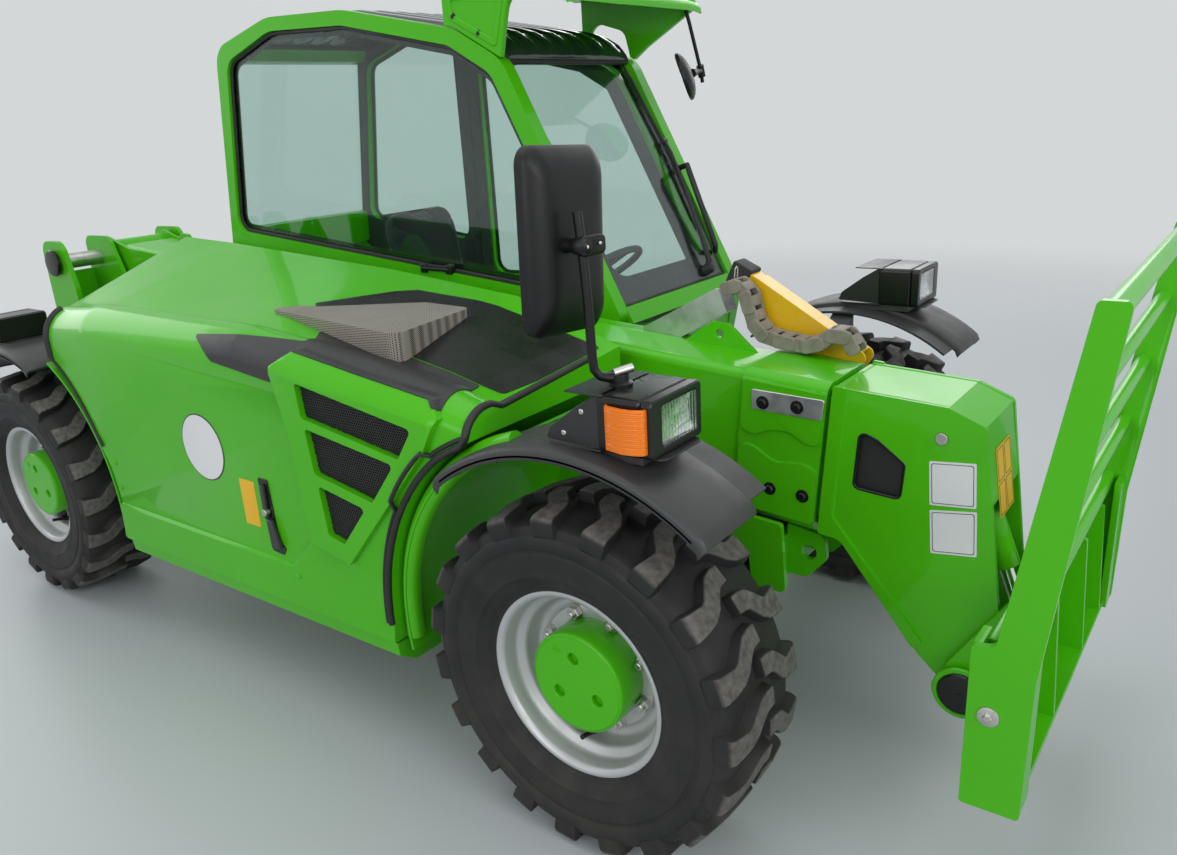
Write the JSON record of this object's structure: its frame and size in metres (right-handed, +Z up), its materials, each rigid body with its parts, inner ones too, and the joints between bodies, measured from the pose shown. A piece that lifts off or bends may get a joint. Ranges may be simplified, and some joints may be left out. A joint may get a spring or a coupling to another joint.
{
  "type": "compact telehandler",
  "caption": "Compact telehandler with a side cab, a two-stage lifting boom down the middle, a side engine cover, four steered wheels and an upright tool carriage.",
  "frame": {"origin": "middle of the footprint, on the ground", "axes": "+X forward, +Y to the left, +Z up"},
  "size_m": [3.9979, 1.81, 1.992],
  "materials": {
    "green_paint": "gloss paint",
    "yellow_paint": "gloss paint",
    "rim_paint": "satin silver paint",
    "tyre_rubber": "matt rubber",
    "black_steel": "satin black",
    "black_plastic": "fine grain",
    "grey_plastic": "perforated",
    "window_glass": "clear green tint",
    "roof_glass": "dark tint",
    "seat_cover": "woven",
    "engine": "cast",
    "bright_steel": "zinc plated",
    "rod_chrome": "polished"
  },
  "bodies": {
    "root": {"chassis_frame": "green_paint", "boom_tower": "green_paint", "counterweight": "green_paint", "arch_liners": "green_paint", "cover_posts": "black_steel", "boom_pivot_pin": "bright_steel", "tow_hitch": "black_steel", "engine_block": "engine", "sill_panel": "green_paint", "side_step": "black_steel", "front_axle": "black_steel", "rear_axle": "black_steel", "cab_frame": "green_paint", "cab_body": "green_paint", "cab_glass": "window_glass", "cab_roof": "roof_glass", "roof_guard": "green_paint", "seat_base": "black_steel", "seat": "seat_cover", "steering_column": "black_plastic", "dash_console": "black_plastic", "lift_pin": "bright_steel", "front_mudguards": "black_plastic", "rear_mudguards": "black_plastic", "lamp_boxes": "black_plastic", "mirror_right": "black_plastic", "mirror_left": "black_plastic"},
    "engine_cover": {"engine_cover": "green_paint", "cover_grilles": "black_plastic", "air_intake": "grey_plastic"},
    "cab_door": {"cab_door": "green_paint", "door_glass": "window_glass"},
    "boom": {"boom_outer": "green_paint", "safety_prop": "yellow_paint", "hose_tray": "bright_steel", "hose_carrier": "grey_plastic"},
    "boom_stage": {"boom_inner": "green_paint", "boom_head": "green_paint", "tilt_pin": "bright_steel"},
    "carriage": {"carriage": "green_paint", "carriage_pin": "bright_steel"},
    "lift_barrel": {"lift_barrel": "green_paint"},
    "lift_rod": {"lift_rod": "rod_chrome"},
    "tilt_barrel": {"tilt_barrel": "green_paint"},
    "tilt_rod": {"tilt_rod": "rod_chrome"},
    "knuckle_front_right": {"knuckle_front_right": "black_steel"},
    "wheel_front_right": {"rim_front_right": "rim_paint", "tyre_front_right": "tyre_rubber"},
    "knuckle_front_left": {"knuckle_front_left": "black_steel"},
    "wheel_front_left": {"rim_front_left": "rim_paint", "tyre_front_left": "tyre_rubber"},
    "knuckle_rear_right": {"knuckle_rear_right": "black_steel"},
    "wheel_rear_right": {"rim_rear_right": "rim_paint", "tyre_rear_right": "tyre_rubber"},
    "knuckle_rear_left": {"knuckle_rear_left": "black_steel"},
    "wheel_rear_left": {"rim_rear_left": "rim_paint", "tyre_rear_left": "tyre_rubber"}
  },
  "joints": [
    {"name": "steer_front_right", "type": "hinge", "parent": "root", "child": "knuckle_front_right", "pos_m": [1.066, -0.585, 0.4155], "axis": [0, 0, 1], "range_deg": [-33, 33]},
    {"name": "spin_front_right", "type": "hinge", "parent": "knuckle_front_right", "child": "wheel_front_right", "pos_m": [1.066, -0.755, 0.4155], "axis": [0, 1, 0], "continuous": true},
    {"name": "steer_front_left", "type": "hinge", "parent": "root", "child": "knuckle_front_left", "pos_m": [1.066, 0.585, 0.4155], "axis": [0, 0, 1], "range_deg": [-33, 33]},
    {"name": "spin_front_left", "type": "hinge", "parent": "knuckle_front_left", "child": "wheel_front_left", "pos_m": [1.066, 0.755, 0.4155], "axis": [0, 1, 0], "continuous": true},
    {"name": "steer_rear_right", "type": "hinge", "parent": "root", "child": "knuckle_rear_right", "pos_m": [-1.394, -0.585, 0.4155], "axis": [0, 0, 1], "range_deg": [-33, 33]},
    {"name": "spin_rear_right", "type": "hinge", "parent": "knuckle_rear_right", "child": "wheel_rear_right", "pos_m": [-1.394, -0.755, 0.4155], "axis": [0, 1, 0], "continuous": true},
    {"name": "steer_rear_left", "type": "hinge", "parent": "root", "child": "knuckle_rear_left", "pos_m": [-1.394, 0.585, 0.4155], "axis": [0, 0, 1], "range_deg": [-33, 33]},
    {"name": "spin_rear_left", "type": "hinge", "parent": "knuckle_rear_left", "child": "wheel_rear_left", "pos_m": [-1.394, 0.755, 0.4155], "axis": [0, 1, 0], "continuous": true},
    {"name": "boom_lift", "type": "hinge", "parent": "root", "child": "boom", "pos_m": [-1.834, -0.075, 1.14], "axis": [0, -1, 0], "range_deg": [0, 60]},
    {"name": "boom_extend", "type": "slide", "parent": "boom", "child": "boom_stage", "axis": [0.9969, 0, -0.0785], "range_m": [0, 1.85]},
    {"name": "carriage_tilt", "type": "hinge", "parent": "boom_stage", "child": "carriage", "pos_m": [1.71105, -0.075, 0.26215], "axis": [0, -1, 0], "range_deg": [-90, 10]},
    {"name": "lift_barrel_turn", "type": "hinge", "parent": "root", "child": "lift_barrel", "pos_m": [-1.684, -0.075, 0.62], "axis": [0, -1, 0], "range_deg": [0, 57.58]},
    {"name": "lift_rod_slide", "type": "slide", "parent": "lift_barrel", "child": "lift_rod", "axis": [1, 0, 0.004], "range_m": [0, 0.5493]},
    {"name": "tilt_barrel_turn", "type": "hinge", "parent": "boom_stage", "child": "tilt_barrel", "pos_m": [1.61778, -0.075, 0.86132], "axis": [0, -1, 0], "range_deg": [-0.31, 1.23]},
    {"name": "tilt_rod_slide", "type": "slide", "parent": "tilt_barrel", "child": "tilt_rod", "axis": [0.3628, 0, -0.9319], "range_m": [-0.0293, 0.2477]},
    {"name": "cover_hinge", "type": "hinge", "parent": "root", "child": "engine_cover", "pos_m": [-0.134, -0.275, 1.1386], "axis": [-0.9967, 0, 0.0811], "range_deg": [0, 50]},
    {"name": "door_hinge", "type": "hinge", "parent": "root", "child": "cab_door", "pos_m": [-0.6375, 0.873, 1.2], "axis": [0, 0, 1], "range_deg": [0, 85]}
  ],
  "couplings": [
    {"joint": "steer_front_right", "follows": "steer_front_left", "ratio": 1},
    {"joint": "steer_rear_right", "follows": "steer_rear_left", "ratio": 1},
    {"joint": "lift_barrel_turn", "follows": "boom_lift", "ratio": 0.9514},
    {"joint": "lift_rod_slide", "follows": "boom_lift", "m_per_rad": 0.5226},
    {"joint": "tilt_barrel_turn", "follows": "carriage_tilt", "ratio": -0.0114},
    {"joint": "tilt_rod_slide", "follows": "carriage_tilt", "m_per_rad": -0.1564}
  ]
}
